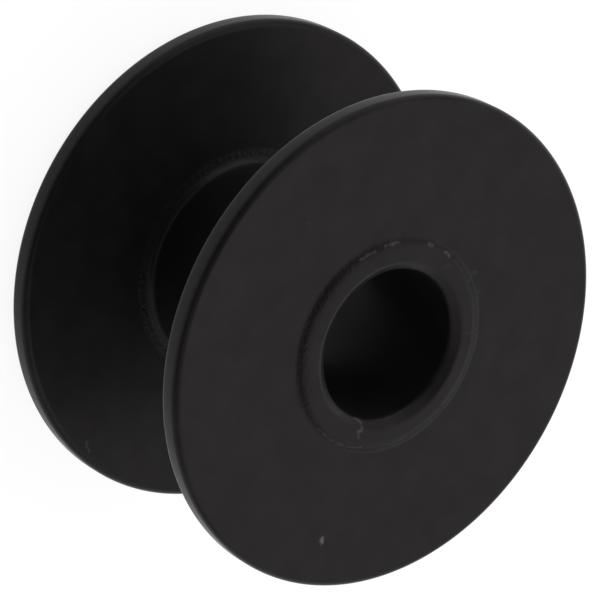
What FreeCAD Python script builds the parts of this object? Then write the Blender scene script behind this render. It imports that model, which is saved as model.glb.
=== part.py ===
import FreeCAD, Part
import os
import Sketcher

# Sewing machine bobbin, in millimetres.
# A turned hub tube is the core. A punched flange sits on a neck at each end of it, against a shoulder,
# and the end of the tube is rolled out over the flange as a low lip, which flares the bore's mouth.
# The axis is Z, and the bobbin stands on its lower lip at Z = 0.

# Each size can be set by itself: its name, its value and what it measures.
driving_sizes = [
    ("flange_diameter", 20.3, "across each flange"),
    ("flange_thickness", 1.02, "sheet that the flanges are punched from"),
    ("flange_edge_chamfer", 0.19, "broken edge on both sides of a flange"),
    ("winding_width", 9.22, "room for thread between the flanges"),
    ("bore_diameter", 6.16, "hole for the winder's spindle"),
    ("core_wall", 1.1, "tube wall between the shoulders"),
    ("neck_wall", 0.74, "tube wall inside a flange's hole"),
    ("neck_clearance", 0.02, "radial room between the neck and a flange's hole"),
    ("shoulder_reach", 0.53, "how far a shoulder stands out from the core"),
    ("shoulder_rim", 0.1, "thickness of a shoulder at its rim"),
    ("root_radius", 0.48, "hollow rounding from the core to a shoulder"),
    ("lip_reach", 0.54, "how far a rolled lip stands out from the neck"),
    ("lip_thickness", 0.25, "height of a lip above its flange"),
    ("lip_edge", 0.04, "thickness that a lip thins to at its rim"),
    ("lip_taper", 0.25, "radial run of a lip's sloping flank"),
    ("mouth_reach", 0.41, "how far the rolling tool flares the bore's mouth"),
    ("mouth_depth", 0.31, "height of the flared mouth"),
]

# Sizes that follow from the driving ones, written as the sheet's own sums.
bore_radius = "sizes.bore_diameter / 2"
neck_radius = f"{bore_radius} + sizes.neck_wall"
core_radius = f"{bore_radius} + sizes.core_wall"
mouth_radius = f"{bore_radius} + sizes.mouth_reach"
shoulder_radius = f"{core_radius} + sizes.shoulder_reach"
lip_radius = f"{neck_radius} + sizes.lip_reach"
lip_flat_radius = f"{lip_radius} - sizes.lip_taper"
flange_radius = "sizes.flange_diameter / 2"
hole_radius = f"{neck_radius} + sizes.neck_clearance"

# Heights up the axis, from the floor to the upper lip.
floor = "0"
lower_mouth = "sizes.mouth_depth"
lower_rim = "sizes.lip_thickness - sizes.lip_edge"
lower_seat = "sizes.lip_thickness"
lower_shoulder = f"{lower_seat} + sizes.flange_thickness"
lower_root = f"{lower_shoulder} + sizes.shoulder_rim"
upper_shoulder = f"{lower_shoulder} + sizes.winding_width"
upper_root = f"{upper_shoulder} - sizes.shoulder_rim"
upper_seat = f"{upper_shoulder} + sizes.flange_thickness"
upper_rim = f"{upper_seat} + sizes.lip_edge"
top = f"{upper_seat} + sizes.lip_thickness"
upper_mouth = f"{top} - sizes.mouth_depth"

# A sketch's own numbers for the points of a line or circle, and for its origin, where its X axis starts.
line_start, line_end, circle_centre = range(1, 4)
sketch_origin = (-1, line_start)

edge_match = 1e-5  # how near an edge lies to the radius and height that it is looked for at


def make_sheet(document):
    sheet = document.addObject("Spreadsheet::Sheet", "sizes")
    for row, (name, value, meaning) in enumerate(driving_sizes, start=1):
        sheet.set(f"A{row}", name)
        sheet.set(f"B{row}", str(value))
        sheet.set(f"C{row}", meaning)
        sheet.setAlias(f"B{row}", name)
    document.recompute()


def value_of(holder, formula):
    return float(holder.evalExpression(formula))


def new_sketch(body, name, plane_role):
    sketch = body.newObject("Sketcher::SketchObject", name)
    plane = next(feature for feature in body.Origin.OriginFeatures if feature.Role == plane_role)
    sketch.AttachmentSupport = (plane, [""])
    sketch.MapMode = "FlatFace"
    return sketch


def bind_size(sketch, kind, elements, formula):
    number = sketch.addConstraint(Sketcher.Constraint(kind, *elements, value_of(sketch, formula)))
    sketch.setExpression(f"Constraints[{number}]", formula)


def draw_profile(sketch, corners):
    # A closed outline: each corner is held at a radius from the axis and a height above the floor.
    places = []
    for radius, height in corners:
        places.append(FreeCAD.Vector(value_of(sketch, radius), value_of(sketch, height), 0))
    following = places[1:] + places[:1]
    for place, next_place in zip(places, following):
        sketch.addGeometry(Part.LineSegment(place, next_place))
    for line, (radius, height) in enumerate(corners):
        corner = (line, line_start)
        last_line = (line - 1) % len(corners)
        sketch.addConstraint(Sketcher.Constraint("Coincident", last_line, line_end, *corner))
        bind_size(sketch, "DistanceX", (*sketch_origin, *corner), radius)
        bind_size(sketch, "DistanceY", (*sketch_origin, *corner), height)


def draw_circle(sketch, formula):
    middle = FreeCAD.Vector(0, 0, 0)
    normal = FreeCAD.Vector(0, 0, 1)
    circle = sketch.addGeometry(Part.Circle(middle, normal, value_of(sketch, formula)))
    sketch.addConstraint(Sketcher.Constraint("Coincident", circle, circle_centre, *sketch_origin))
    bind_size(sketch, "Radius", (circle,), formula)


def ring_edges(feature, radius_formula, height_formulas):
    # Names of the circular edges that have this radius at one of these heights.
    radius = value_of(feature, radius_formula)
    heights = [value_of(feature, formula) for formula in height_formulas]
    names = []
    for number, edge in enumerate(feature.Shape.Edges, start=1):
        if not isinstance(edge.Curve, Part.Circle):
            continue
        same_radius = abs(edge.Curve.Radius - radius) < edge_match
        same_height = any(abs(edge.Curve.Center.z - height) < edge_match for height in heights)
        if same_radius and same_height:
            names.append(f"Edge{number}")
    return names


def round_rings(body, base, name, radius_formula, height_formulas, rounding):
    body.Document.recompute()
    fillet = body.newObject("PartDesign::Fillet", name)
    fillet.Base = (base, ring_edges(base, radius_formula, height_formulas))
    fillet.setExpression("Radius", rounding)
    return fillet


def break_rings(body, base, name, radius_formula, height_formulas, breaking):
    body.Document.recompute()
    chamfer = body.newObject("PartDesign::Chamfer", name)
    chamfer.Base = (base, ring_edges(base, radius_formula, height_formulas))
    chamfer.setExpression("Size", breaking)
    return chamfer


def make_hub_tube(document):
    body = document.addObject("PartDesign::Body", "hub_tube")
    body.Label = "hub_tube"
    section = new_sketch(body, "hub_section", "XZ_Plane")
    draw_profile(
        section,
        [
            (bore_radius, lower_mouth),
            (mouth_radius, floor),
            (lip_flat_radius, floor),
            (lip_radius, lower_rim),
            (lip_radius, lower_seat),
            (neck_radius, lower_seat),
            (neck_radius, lower_shoulder),
            (shoulder_radius, lower_shoulder),
            (shoulder_radius, lower_root),
            (core_radius, lower_root),
            (core_radius, upper_root),
            (shoulder_radius, upper_root),
            (shoulder_radius, upper_shoulder),
            (neck_radius, upper_shoulder),
            (neck_radius, upper_seat),
            (lip_radius, upper_seat),
            (lip_radius, upper_rim),
            (lip_flat_radius, top),
            (mouth_radius, top),
            (bore_radius, upper_mouth),
        ],
    )
    turned = body.newObject("PartDesign::Revolution", "turned_tube")
    turned.Profile = section
    turned.ReferenceAxis = (section, ["V_Axis"])
    turned.Angle = 360
    round_rings(body, turned, "roots", core_radius, [lower_root, upper_root], "sizes.root_radius")
    return body


def make_flange(document, name, height):
    body = document.addObject("PartDesign::Body", name)
    body.Label = name
    blank = new_sketch(body, f"{name}_blank", "XY_Plane")
    draw_circle(blank, flange_radius)
    draw_circle(blank, hole_radius)
    disc = body.newObject("PartDesign::Pad", f"{name}_disc")
    disc.Profile = blank
    disc.setExpression("Length", "sizes.flange_thickness")
    faces = [floor, "sizes.flange_thickness"]
    break_rings(body, disc, f"{name}_edges", flange_radius, faces, "sizes.flange_edge_chamfer")
    body.setExpression("Placement.Base.z", height)
    return body


def check_built(document, pieces):
    for item in document.Objects:
        failed = [state for state in item.State if state in ("Invalid", "Error")]
        if failed:
            raise RuntimeError(f"{item.Label} was not built: {item.State}")
    for piece in pieces:
        if piece.Shape.isNull() or not piece.Shape.isValid():
            raise RuntimeError(f"{piece.Label} has no valid shape")


document = FreeCAD.newDocument("bobbin")
make_sheet(document)
pieces = [
    make_hub_tube(document),
    make_flange(document, "lower_flange", lower_seat),
    make_flange(document, "upper_flange", upper_shoulder),
]
document.recompute()
check_built(document, pieces)
os.makedirs("parts", exist_ok=True)
for piece in pieces:
    piece.Shape.exportStep(f"parts/{piece.Label}.step")
    box = piece.Shape.optimalBoundingBox()
    print(f"{piece.Label}: {box.XLength:.3f} x {box.YLength:.3f} x {box.ZLength:.3f} mm")
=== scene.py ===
from math import pi, radians

import bmesh
import bpy
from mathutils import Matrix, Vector


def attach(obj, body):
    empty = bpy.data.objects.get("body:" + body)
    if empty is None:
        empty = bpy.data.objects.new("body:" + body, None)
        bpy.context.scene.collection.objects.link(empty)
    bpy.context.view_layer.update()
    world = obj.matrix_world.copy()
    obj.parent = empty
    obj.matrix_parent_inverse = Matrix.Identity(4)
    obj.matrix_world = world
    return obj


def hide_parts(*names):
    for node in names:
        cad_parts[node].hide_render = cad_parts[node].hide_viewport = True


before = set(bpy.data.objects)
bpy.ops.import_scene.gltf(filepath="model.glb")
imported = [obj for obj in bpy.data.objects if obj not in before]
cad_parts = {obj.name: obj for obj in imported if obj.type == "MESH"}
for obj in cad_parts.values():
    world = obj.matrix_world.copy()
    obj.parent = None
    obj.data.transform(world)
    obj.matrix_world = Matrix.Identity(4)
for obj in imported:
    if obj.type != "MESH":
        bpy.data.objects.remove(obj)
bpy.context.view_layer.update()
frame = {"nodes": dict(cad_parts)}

mm = 0.001  # one millimetre in scene units
print("frame loaded:", ", ".join(frame["nodes"]))


def linearColour(hexCode):
    # sRGB hex to the linear colour that a shader wants
    linear = []
    for start in (1, 3, 5):
        value = int(hexCode[start:start + 2], 16) / 255
        linear.append(value / 12.92 if value <= 0.04045 else ((value + 0.055) / 1.055) ** 2.4)
    return (*linear, 1.0)


def addNode(tree, kind, inputs=None, **settings):
    # one node with its settings; an input is a value or a socket to link from
    node = tree.nodes.new(kind)
    for name, value in settings.items():
        setattr(node, name, value)
    for name, value in (inputs or {}).items():
        if isinstance(value, bpy.types.NodeSocket):
            tree.links.new(value, node.inputs[name])
        else:
            node.inputs[name].default_value = value
    return node


def newMaterial(name):
    material = bpy.data.materials.new(name)
    material.use_nodes = True
    material.node_tree.nodes.clear()
    return material, material.node_tree


# black coat: thin satin paint over turned steel, baked hard
# the eye gets almost no colour from it, only a soft sheen with a very fine grain
blackCoat = {
    "colour": "#1f1d1d",
    "mottle": "#262424",
    # pale colour of the marks: dust, lint and hair, and the painted highlights along the upper lip's foot
    "dustAndHighlight": "#6a6668",
    "sheen": "#fff6fb",
    "ior": 1.23,
    "roughness": (0.29, 0.35),
    "noiseSpan": (0.3, 0.7),  # where nearly all of a noise's values lie
    "grainSize": 0.11,  # mm, drawn coarser than the paint's own grain, so that it shows
    "grainDepth": 0.0006,  # mm
    "grainDetail": 3.0,
    "grainBite": 0.6,  # how strong the finer part of the grain is
    "mottleSize": 1.1,  # mm
    "mottleDetail": 4.0,
    "nibRadius": 4.3,  # mm, where a rolled lip meets its flange
    "rootRadius": 4.6,  # mm, where the hollow runs out on a flange
    "nibReach": 0.28,  # mm to either side of those two rings
    "nibSize": 0.22,  # mm
    "nibDepth": 0.07,  # mm
    "nibDetail": 2.0,
    "nibHeight": 5.6,  # mm from the bobbin's middle, just short of the flanges' outer faces
    "nibRoughness": 0.22,  # added along both rings
    "shakeSize": 0.2,  # mm, how the edges of the marks wander
    "shakeReach": 0.22,  # mm
    "shakeDetail": 1.0,
    "shakeMiddle": (0.5, 0.5, 0.5),  # a noise's mean, taken off so that the marks stay in place
}

# marks on the coat, in mm: where each runs, half its width and how much of the paint it covers. The specks,
# lint and hair are dust on the coat; the pale dashes along the upper lip's foot are painted highlights,
# where the foot catches the light
marks = {
    "dustSpeck": {
        "path": [(7.9, 1.87, 11.51), (8.07, 1.96, 11.51)],
        "halfWidth": 0.15, "cover": 1.0},
    "faceSpeck": {
        "path": [(-2.63, -6.74, 11.51), (-2.64, -6.7, 11.51)],
        "halfWidth": 0.1, "cover": 0.14},
    "edgeSpeck": {
        "path": [(-4.29, -8.56, 11.51), (-4.37, -8.36, 11.51)],
        "halfWidth": 0.1, "cover": 0.04},
    "outerSpeck": {
        "path": [(-4.0, -7.7, 11.51), (-4.02, -7.65, 11.51)],
        "halfWidth": 0.1, "cover": 0.06},
    "lintHook": {
        "path": [(3.15, 0.3, 11.52), (3.13, 0.47, 11.52), (3.16, 0.65, 11.55), (3.23, 0.68, 11.59)],
        "halfWidth": 0.1, "cover": 0.42},
    "lintTail": {
        "path": [(3.3, 0.73, 11.64), (3.39, 0.72, 11.74), (3.49, 0.65, 11.76), (3.55, 0.6, 11.76)],
        "halfWidth": 0.12, "cover": 0.42},
    "lintEnd": {
        "path": [(3.67, 0.69, 11.76), (3.74, 0.75, 11.76)],
        "halfWidth": 0.1, "cover": 0.3},
    "lowerFlangeHair": {
        "path": [(9.2, -2.32, 1.27), (9.38, -2.18, 1.27), (9.51, -1.98, 1.27)],
        "halfWidth": 0.08, "cover": 0.42},
    # painted highlights: the next four dashes lie along the upper lip's foot, where it catches the light
    "paintedFootHighlight": {
        "path": [(-2.37, -3.59, 11.61), (-2.65, -3.37, 11.62), (-2.92, -3.1, 11.64)],
        "halfWidth": 0.1, "cover": 0.4},
    "paintedFootHighlightNext": {
        "path": [(-3.31, -2.74, 11.61), (-3.5, -2.49, 11.61), (-3.68, -2.2, 11.62)],
        "halfWidth": 0.1, "cover": 0.45},
    "paintedTopHighlight": {
        "path": [(-4.21, -0.74, 11.63), (-4.23, -0.58, 11.63)],
        "halfWidth": 0.15, "cover": 0.42},
    "paintedSideHighlight": {
        "path": [(-4.24, 0.17, 11.65), (-4.21, 0.47, 11.66)],
        "halfWidth": 0.13, "cover": 0.42},
    "outerNib": {
        "path": [(-4.07, 2.12, 11.51), (-4.2, 2.32, 11.51)],
        "halfWidth": 0.12, "cover": 0.14},
    "loneNib": {
        "path": [(-3.57, 2.89, 11.51), (-3.5, 3.0, 11.51)],
        "halfWidth": 0.12, "cover": 0.12},
    "crownNib": {
        "path": [(-3.76, 0.48, 11.76), (-3.84, 0.69, 11.76)],
        "halfWidth": 0.12, "cover": 0.08},
    "crownTick": {
        "path": [(-1.86, 3.17, 11.76), (-2.02, 3.48, 11.76)],
        "halfWidth": 0.08, "cover": 0.1},
    # painted highlights: two more dashes along the upper lip's foot, where it catches the light
    "paintedLowHighlight": {
        "path": [(4.17, -1.18, 11.57), (4.28, -0.5, 11.6), (4.31, 0.03, 11.6), (4.27, 0.52, 11.61),
                 (4.05, 1.25, 11.66)],
        "halfWidth": 0.08, "cover": 0.26},
    "paintedLowHighlightNext": {
        "path": [(3.44, 2.47, 11.66), (3.24, 2.77, 11.64), (2.85, 3.07, 11.69)],
        "halfWidth": 0.08, "cover": 0.2},
}


def markMask(tree, place):
    # one mask of all the marks, dust and painted highlights alike, from each point's distance to their
    # short straight runs
    # the place is shaken a little first, so that no mark has a ruled edge
    shake = addNode(tree, "ShaderNodeTexNoise", {
        "Vector": place, "Scale": 1 / (blackCoat["shakeSize"] * mm), "Detail": blackCoat["shakeDetail"]})
    shake = addNode(tree, "ShaderNodeVectorMath", {
        0: shake.outputs["Color"], 1: blackCoat["shakeMiddle"]}, operation="SUBTRACT")
    shaken = addNode(tree, "ShaderNodeVectorMath", {
        0: shake.outputs[0], 1: (blackCoat["shakeReach"] * mm,) * 3, 2: place}, operation="MULTIPLY_ADD")
    mask = None
    for mark in marks.values():
        for start, end in zip(mark["path"], mark["path"][1:]):
            start, end = Vector(start) * mm, Vector(end) * mm
            run = end - start
            offset = addNode(tree, "ShaderNodeVectorMath", {
                0: shaken.outputs[0], 1: start}, operation="SUBTRACT")
            share = addNode(tree, "ShaderNodeVectorMath", {
                0: offset.outputs[0], 1: run / run.length_squared}, operation="DOT_PRODUCT")
            along = addNode(tree, "ShaderNodeClamp", {"Value": share.outputs["Value"]})
            nearest = addNode(tree, "ShaderNodeVectorMath", {
                0: run, "Scale": along.outputs[0]}, operation="SCALE")
            gap = addNode(tree, "ShaderNodeVectorMath", {
                0: offset.outputs[0], 1: nearest.outputs[0]}, operation="DISTANCE")
            cover = addNode(tree, "ShaderNodeMapRange", {
                "Value": gap.outputs["Value"], "From Min": mark["halfWidth"] * mm, "From Max": 0.0,
                "To Min": 0.0, "To Max": mark["cover"]}, interpolation_type="SMOOTHSTEP")
            if mask:
                cover = addNode(tree, "ShaderNodeMath", {0: mask, 1: cover.outputs[0]}, operation="MAXIMUM")
            mask = cover.outputs[0]
    return mask


def nibRing(tree, place, midHeight):
    # a soft ring along the foot of each lip, and along the run-out of the hollow inside each flange
    axes = addNode(tree, "ShaderNodeSeparateXYZ", {0: place})
    height = addNode(tree, "ShaderNodeMath", {
        0: axes.outputs["Z"], 1: midHeight * mm}, operation="SUBTRACT")
    height = addNode(tree, "ShaderNodeMath", {0: height.outputs[0]}, operation="ABSOLUTE")
    outside = addNode(tree, "ShaderNodeMath", {
        0: height.outputs[0], 1: blackCoat["nibHeight"] * mm}, operation="GREATER_THAN")
    middle = addNode(tree, "ShaderNodeMapRange", {
        "Value": outside.outputs[0],
        "To Min": blackCoat["rootRadius"] * mm, "To Max": blackCoat["nibRadius"] * mm})
    flat = addNode(tree, "ShaderNodeVectorMath", {0: place, 1: (1, 1, 0)}, operation="MULTIPLY")
    radius = addNode(tree, "ShaderNodeVectorMath", {0: flat.outputs[0]}, operation="LENGTH")
    away = addNode(tree, "ShaderNodeMath", {
        0: radius.outputs["Value"], 1: middle.outputs[0]}, operation="SUBTRACT")
    away = addNode(tree, "ShaderNodeMath", {0: away.outputs[0]}, operation="ABSOLUTE")
    ring = addNode(tree, "ShaderNodeMapRange", {
        "Value": away.outputs[0], "From Min": blackCoat["nibReach"] * mm, "From Max": 0.0},
        interpolation_type="SMOOTHSTEP")
    return ring.outputs[0]


def makeBlackCoat(midHeight):
    material, tree = newMaterial("satinBlackPaint")
    place = addNode(tree, "ShaderNodeTexCoord").outputs["Object"]
    lowNoise, highNoise = blackCoat["noiseSpan"]
    # colour: a faint mottle, with the marks laid over it: dust, and painted highlights along the upper
    # lip's foot
    mottle = addNode(tree, "ShaderNodeTexNoise", {
        "Vector": place, "Scale": 1 / (blackCoat["mottleSize"] * mm), "Detail": blackCoat["mottleDetail"]})
    shade = addNode(tree, "ShaderNodeValToRGB", {"Fac": mottle.outputs["Fac"]})
    dark, pale = shade.color_ramp.elements
    dark.position, pale.position = lowNoise, highNoise
    dark.color = linearColour(blackCoat["colour"])
    pale.color = linearColour(blackCoat["mottle"])
    dustAndHighlightMix = addNode(tree, "ShaderNodeMix", {
        "Factor": markMask(tree, place), 6: shade.outputs["Color"], 7: linearColour(blackCoat["dustAndHighlight"])},
        data_type="RGBA")
    # gloss: a fine grain, rougher where nibs of paint have gathered
    grain = addNode(tree, "ShaderNodeTexNoise", {
        "Vector": place, "Scale": 1 / (blackCoat["grainSize"] * mm),
        "Detail": blackCoat["grainDetail"], "Roughness": blackCoat["grainBite"]})
    smoothest, roughest = blackCoat["roughness"]
    rough = addNode(tree, "ShaderNodeMapRange", {
        "Value": grain.outputs["Fac"], "From Min": lowNoise, "From Max": highNoise,
        "To Min": smoothest, "To Max": roughest})
    ring = nibRing(tree, place, midHeight)
    rough = addNode(tree, "ShaderNodeMath", {
        0: ring, 1: blackCoat["nibRoughness"], 2: rough.outputs["Result"]}, operation="MULTIPLY_ADD")
    # relief: the grain, and the nibs on top of it
    grainBump = addNode(tree, "ShaderNodeBump", {
        "Height": grain.outputs["Fac"], "Strength": 1.0, "Distance": blackCoat["grainDepth"] * mm})
    nibs = addNode(tree, "ShaderNodeTexNoise", {
        "Vector": place, "Scale": 1 / (blackCoat["nibSize"] * mm), "Detail": blackCoat["nibDetail"]})
    nibs = addNode(tree, "ShaderNodeMath", {0: nibs.outputs["Fac"], 1: ring}, operation="MULTIPLY")
    nibBump = addNode(tree, "ShaderNodeBump", {
        "Height": nibs.outputs[0], "Strength": 1.0, "Distance": blackCoat["nibDepth"] * mm,
        "Normal": grainBump.outputs["Normal"]})
    paint = addNode(tree, "ShaderNodeBsdfPrincipled", {
        "Base Color": dustAndHighlightMix.outputs[2], "Roughness": rough.outputs[0], "Normal": nibBump.outputs["Normal"],
        "IOR": blackCoat["ior"], "Specular Tint": linearColour(blackCoat["sheen"])})
    addNode(tree, "ShaderNodeOutputMaterial", {"Surface": paint.outputs["BSDF"]})
    print("coat mixed:", len(marks), "marks on it")
    return material


# turning: how the section of a round piece is drawn and spun
turning = {
    "cornerMatch": 1e-4,  # mm, how near a point lies to the corner that it is looked for at
    "cornerSegments": 10,
    "cornerProfile": 0.5,  # a round corner
    "mergeGap": 0.0005,  # mm
    "smoothAngle": 40,  # degrees
}


def selectCorners(corners):
    # in edit mode, selects the points of the section that lie at these corners
    bpy.ops.mesh.select_mode(type="VERT")
    bpy.ops.mesh.select_all(action="DESELECT")
    section = bmesh.from_edit_mesh(bpy.context.edit_object.data)
    for point in section.verts:
        radius, height = point.co.x / mm, point.co.z / mm
        gaps = [abs(radius - cornerRadius) + abs(height - cornerHeight)
                for cornerRadius, cornerHeight, _ in corners]
        point.select = min(gaps) < turning["cornerMatch"]
    section.select_flush_mode()
    bmesh.update_edit_mesh(bpy.context.edit_object.data)


def turnPiece(name, outline, steps):
    # draws a wall section corner by corner, rounds its corners and spins it round the axis
    bpy.ops.object.select_all(action="DESELECT")
    bpy.ops.mesh.primitive_plane_add(size=mm, location=(0, 0, 0))
    piece = bpy.context.active_object
    piece.name = name
    bpy.ops.object.mode_set(mode="EDIT")
    bpy.ops.mesh.merge(type="CENTER")  # leaves one point, the section's first corner
    firstRadius, firstHeight, _ = outline[0]
    bpy.ops.transform.translate(value=(firstRadius * mm, 0, firstHeight * mm))
    for (fromRadius, fromHeight, _), (toRadius, toHeight, _) in zip(outline, outline[1:]):
        move = ((toRadius - fromRadius) * mm, 0, (toHeight - fromHeight) * mm)
        bpy.ops.mesh.extrude_region_move(TRANSFORM_OT_translate={"value": move})
    selectCorners([outline[0], outline[-1]])
    bpy.ops.mesh.edge_face_add()
    for corner in outline:
        rounding = corner[2]
        if rounding:
            selectCorners([corner])
            bpy.ops.mesh.bevel(offset=rounding * mm, segments=turning["cornerSegments"],
                               profile=turning["cornerProfile"], affect="VERTICES")
    bpy.ops.mesh.select_all(action="SELECT")
    bpy.ops.mesh.delete(type="ONLY_FACE")
    bpy.ops.mesh.select_all(action="SELECT")
    bpy.ops.mesh.spin(steps=steps, angle=radians(360), center=(0, 0, 0), axis=(0, 0, 1))
    bpy.ops.mesh.select_all(action="SELECT")
    bpy.ops.mesh.remove_doubles(threshold=turning["mergeGap"] * mm)
    bpy.ops.mesh.normals_make_consistent(inside=False)
    bpy.ops.object.mode_set(mode="OBJECT")
    bpy.ops.object.shade_smooth_by_angle(angle=radians(turning["smoothAngle"]))
    print(name, "turned:", len(piece.data.polygons), "faces")
    return piece


# hub tube, in mm: bore, rolled lips, necks, shoulders with hollow roots and the core
hubTube = {
    "height": 11.76,
    "boreRadius": 3.075,
    "boreRounding": 0.13,
    "mouthRadius": 3.494,
    "mouthDepth": 0.29,
    "mouthRounding": 0.1,
    "crownRadius": 4.14,
    "crownRounding": 0.22,
    "footRadius": 4.4,
    "footLift": 0.004,  # how far the lip's foot stays above the flange
    "footRounding": 0.1,
    "skirtRadius": 4.56,  # where the lip's feathered edge ends
    "skirtLift": 0.002,
    "seat": 0.25,  # drop from the lip's top to the flange
    "neckRadius": 3.82,
    "shoulderDrop": 1.27,
    "shoulderRadius": 4.71,
    "shoulderRim": 0.012,
    "coreRadius": 4.18,
    "rootSlope": 0.03,  # how far the hollow falls from the core to the shoulder's rim
    "rootRounding": 0.52,
    "steps": 256,
}


def makeHubTube(material):
    size = hubTube
    rim = size["shoulderDrop"] + size["shoulderRim"]
    # one end, from the bore out over the lip and down to the core: radius, drop from the top, rounding
    end = [
        (size["boreRadius"], size["mouthDepth"], size["boreRounding"]),
        (size["mouthRadius"], 0, size["mouthRounding"]),
        (size["crownRadius"], 0, size["crownRounding"]),
        (size["footRadius"], size["seat"] - size["footLift"], size["footRounding"]),
        (size["skirtRadius"], size["seat"] - size["skirtLift"], 0),
        (size["skirtRadius"], size["seat"], 0),
        (size["neckRadius"], size["seat"], 0),
        (size["neckRadius"], size["shoulderDrop"], 0),
        (size["shoulderRadius"], size["shoulderDrop"], 0),
        (size["shoulderRadius"], rim, 0),
        (size["coreRadius"], rim + size["rootSlope"], size["rootRounding"]),
    ]
    upper = [(radius, size["height"] - drop, rounding) for radius, drop, rounding in end]
    lower = end[::-1]  # the bobbin stands on this end, so a drop is a height
    piece = turnPiece("hubTubeTurned", upper + lower, size["steps"])
    piece.data.materials.append(material)
    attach(piece, "root")
    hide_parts("hub_tube")


# flange, in mm: a punched disc with tumbled edges, clamped between a shoulder and a lip
flange = {
    "radius": 10.15,
    "holeRadius": 3.84,
    "thickness": 1.02,
    "edgeRounding": 0.3,
    "edgeMargin": 0.03,  # keeps the faces flat up to their rounded edges
    "heights": {"lower_flange": 0.25, "upper_flange": 10.49},
    "steps": 320,
}


def makeFlanges(material):
    size = flange
    bottom = size["heights"]["lower_flange"]
    top = bottom + size["thickness"]
    flat = size["radius"] - size["edgeRounding"] - size["edgeMargin"]
    outline = [
        (size["holeRadius"], top, 0),
        (flat, top, 0),
        (size["radius"], top, size["edgeRounding"]),
        (size["radius"], bottom, size["edgeRounding"]),
        (flat, bottom, 0),
        (size["holeRadius"], bottom, 0),
    ]
    lowerDisc = turnPiece("lowerFlangeDisc", outline, size["steps"])
    lowerDisc.data.materials.append(material)
    # the upper flange is a copy of the disc, lifted in its own mesh
    bpy.ops.object.duplicate(linked=False)
    upperDisc = bpy.context.active_object
    upperDisc.name = "upperFlangeDisc"
    bpy.ops.object.mode_set(mode="EDIT")
    bpy.ops.mesh.select_all(action="SELECT")
    bpy.ops.transform.translate(value=(0, 0, (size["heights"]["upper_flange"] - bottom) * mm))
    bpy.ops.object.mode_set(mode="OBJECT")
    print("upperFlangeDisc copied")
    for node, piece in (("lower_flange", lowerDisc), ("upper_flange", upperDisc)):
        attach(piece, "root")
        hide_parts(node)


# studio, in metres: a round white table with a low rim, in a dim room
studio = {
    "tableRadius": 1.2,
    "tableSides": 96,
    "rimHeight": 0.12,
    "tableColour": "#808080",
    "tableGlow": 0.9,  # brings the table up to white for the camera and for reflections
    # the glow under the bobbin is turned down to paint its shadow there
    "shadedGlow": 0.64,  # what is left of the glow under the bobbin
    "shadeSpan": (2, 9),  # mm from the axis, over which the glow comes back
    "room": 0.06,
}

# softboxes behind the bobbin, above it and low and high at its sides, in metres
lamps = {
    "backSoftbox": {
        "place": (0.0, 0.42, 0.245), "aim": (0.0, 0.0, 0.245), "size": (1.5, 0.41), "radiance": 0.77},
    "topSoftbox": {
        "place": (0.0, 0.215, 0.44), "aim": (0.0, 0.215, 0.0), "size": (1.3, 0.37), "radiance": 1.15},
    "leftSoftbox": {
        "place": (-0.4, -0.06, 0.14), "aim": (0.0, 0.0, 0.01), "size": (0.4, 0.24), "radiance": 1.18},
    "rightSoftbox": {
        "place": (0.4, -0.06, 0.14), "aim": (0.0, 0.0, 0.01), "size": (0.4, 0.24), "radiance": 0.6},
    "leftHighSoftbox": {
        "place": (-0.29, -0.13, 0.4), "aim": (0.0, 0.0, 0.01), "size": (0.3, 0.3), "radiance": 0.56},
    "rightHighSoftbox": {
        "place": (0.29, -0.13, 0.4), "aim": (0.0, 0.0, 0.01), "size": (0.3, 0.3), "radiance": 0.56},
}


def makeWhiteBoard():
    # matt white laminate: no gloss, and bright enough to fill the picture behind the bobbin
    material, tree = newMaterial("matteWhiteBoard")
    path = addNode(tree, "ShaderNodeLightPath")
    seen = addNode(tree, "ShaderNodeMath", {
        0: path.outputs["Is Camera Ray"], 1: path.outputs["Is Glossy Ray"]}, operation="MAXIMUM")
    seen = addNode(tree, "ShaderNodeMath", {
        0: seen.outputs[0], 1: path.outputs["Is Transmission Ray"]}, operation="MAXIMUM")
    # under the bobbin, where the board lies in its shadow, the glow is turned down by the distance from the
    # axis: a painted shadow, which the bore's wall mirrors
    place = addNode(tree, "ShaderNodeTexCoord")
    radius = addNode(tree, "ShaderNodeVectorMath", {0: place.outputs["Object"]}, operation="LENGTH")
    shadeStart, shadeEnd = studio["shadeSpan"]
    lit = addNode(tree, "ShaderNodeMapRange", {
        "Value": radius.outputs["Value"], "From Min": shadeStart * mm, "From Max": shadeEnd * mm,
        "To Min": studio["shadedGlow"], "To Max": studio["tableGlow"]})
    glow = addNode(tree, "ShaderNodeMath", {0: seen.outputs[0], 1: lit.outputs[0]}, operation="MULTIPLY")
    board = addNode(tree, "ShaderNodeBsdfDiffuse", {"Color": linearColour(studio["tableColour"])})
    white = addNode(tree, "ShaderNodeEmission", {"Strength": glow.outputs[0]})
    both = addNode(tree, "ShaderNodeAddShader", {0: board.outputs[0], 1: white.outputs[0]})
    addNode(tree, "ShaderNodeOutputMaterial", {"Surface": both.outputs[0]})
    return material


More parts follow.
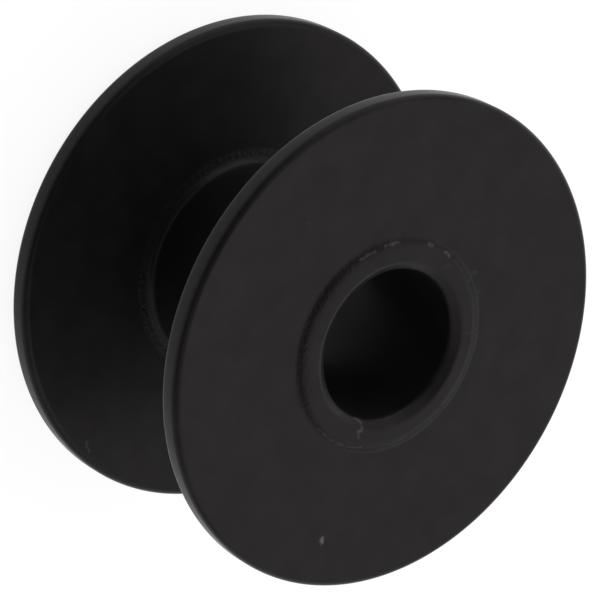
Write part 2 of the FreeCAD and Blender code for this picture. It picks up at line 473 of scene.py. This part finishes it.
def makeTable():
    bpy.ops.object.select_all(action="DESELECT")
    bpy.ops.mesh.primitive_circle_add(
        vertices=studio["tableSides"], radius=studio["tableRadius"], fill_type="NGON")
    table = bpy.context.active_object
    table.name = "whiteTable"
    bpy.ops.object.mode_set(mode="EDIT")
    bpy.ops.mesh.select_all(action="SELECT")
    bpy.ops.mesh.region_to_loop()
    bpy.ops.mesh.extrude_edges_move(TRANSFORM_OT_translate={"value": (0, 0, studio["rimHeight"])})
    bpy.ops.object.mode_set(mode="OBJECT")
    table.data.materials.append(makeWhiteBoard())


def makeLamps():
    for name, lamp in lamps.items():
        light = bpy.data.lights.new(name, "AREA")
        light.shape = "RECTANGLE"
        light.size, light.size_y = lamp["size"]
        light.energy = lamp["radiance"] * pi * light.size * light.size_y  # watts for the whole box
        holder = bpy.data.objects.new(name, light)
        holder.location = lamp["place"]
        holder.rotation_euler = (holder.location - Vector(lamp["aim"])).to_track_quat("Z", "Y").to_euler()
        bpy.context.scene.collection.objects.link(holder)
    world = bpy.data.worlds.new("dimRoom")
    world.use_nodes = True
    world.node_tree.nodes["Background"].inputs["Color"].default_value = (*[studio["room"]] * 3, 1)
    bpy.context.scene.world = world
    print("studio lit:", len(lamps), "softboxes")


# camera: the photograph's own view, from above and turned on its side
view = {
    "place": (0.1064, -135.0698, 152.2902),  # mm
    "turn": (-23.8021, -36.5399, 126.5333),  # degrees
    "lens": 300.58,  # mm
    "sensor": 36,  # mm
    "nearest": 0.001,  # metres, where the view begins
}


def makeCamera():
    camera = bpy.data.cameras.new("photoView")
    camera.lens = view["lens"]
    camera.sensor_width = view["sensor"]
    camera.clip_start = view["nearest"]
    holder = bpy.data.objects.new("photoView", camera)
    holder.location = [value * mm for value in view["place"]]
    holder.rotation_euler = [radians(value) for value in view["turn"]]
    bpy.context.scene.collection.objects.link(holder)
    bpy.context.scene.camera = holder
    print("camera placed")


coat = makeBlackCoat(hubTube["height"] / 2)
makeHubTube(coat)
makeFlanges(coat)

makeTable()
makeLamps()
makeCamera()
bpy.context.scene.view_settings.view_transform = "Standard"

print("scene ready")
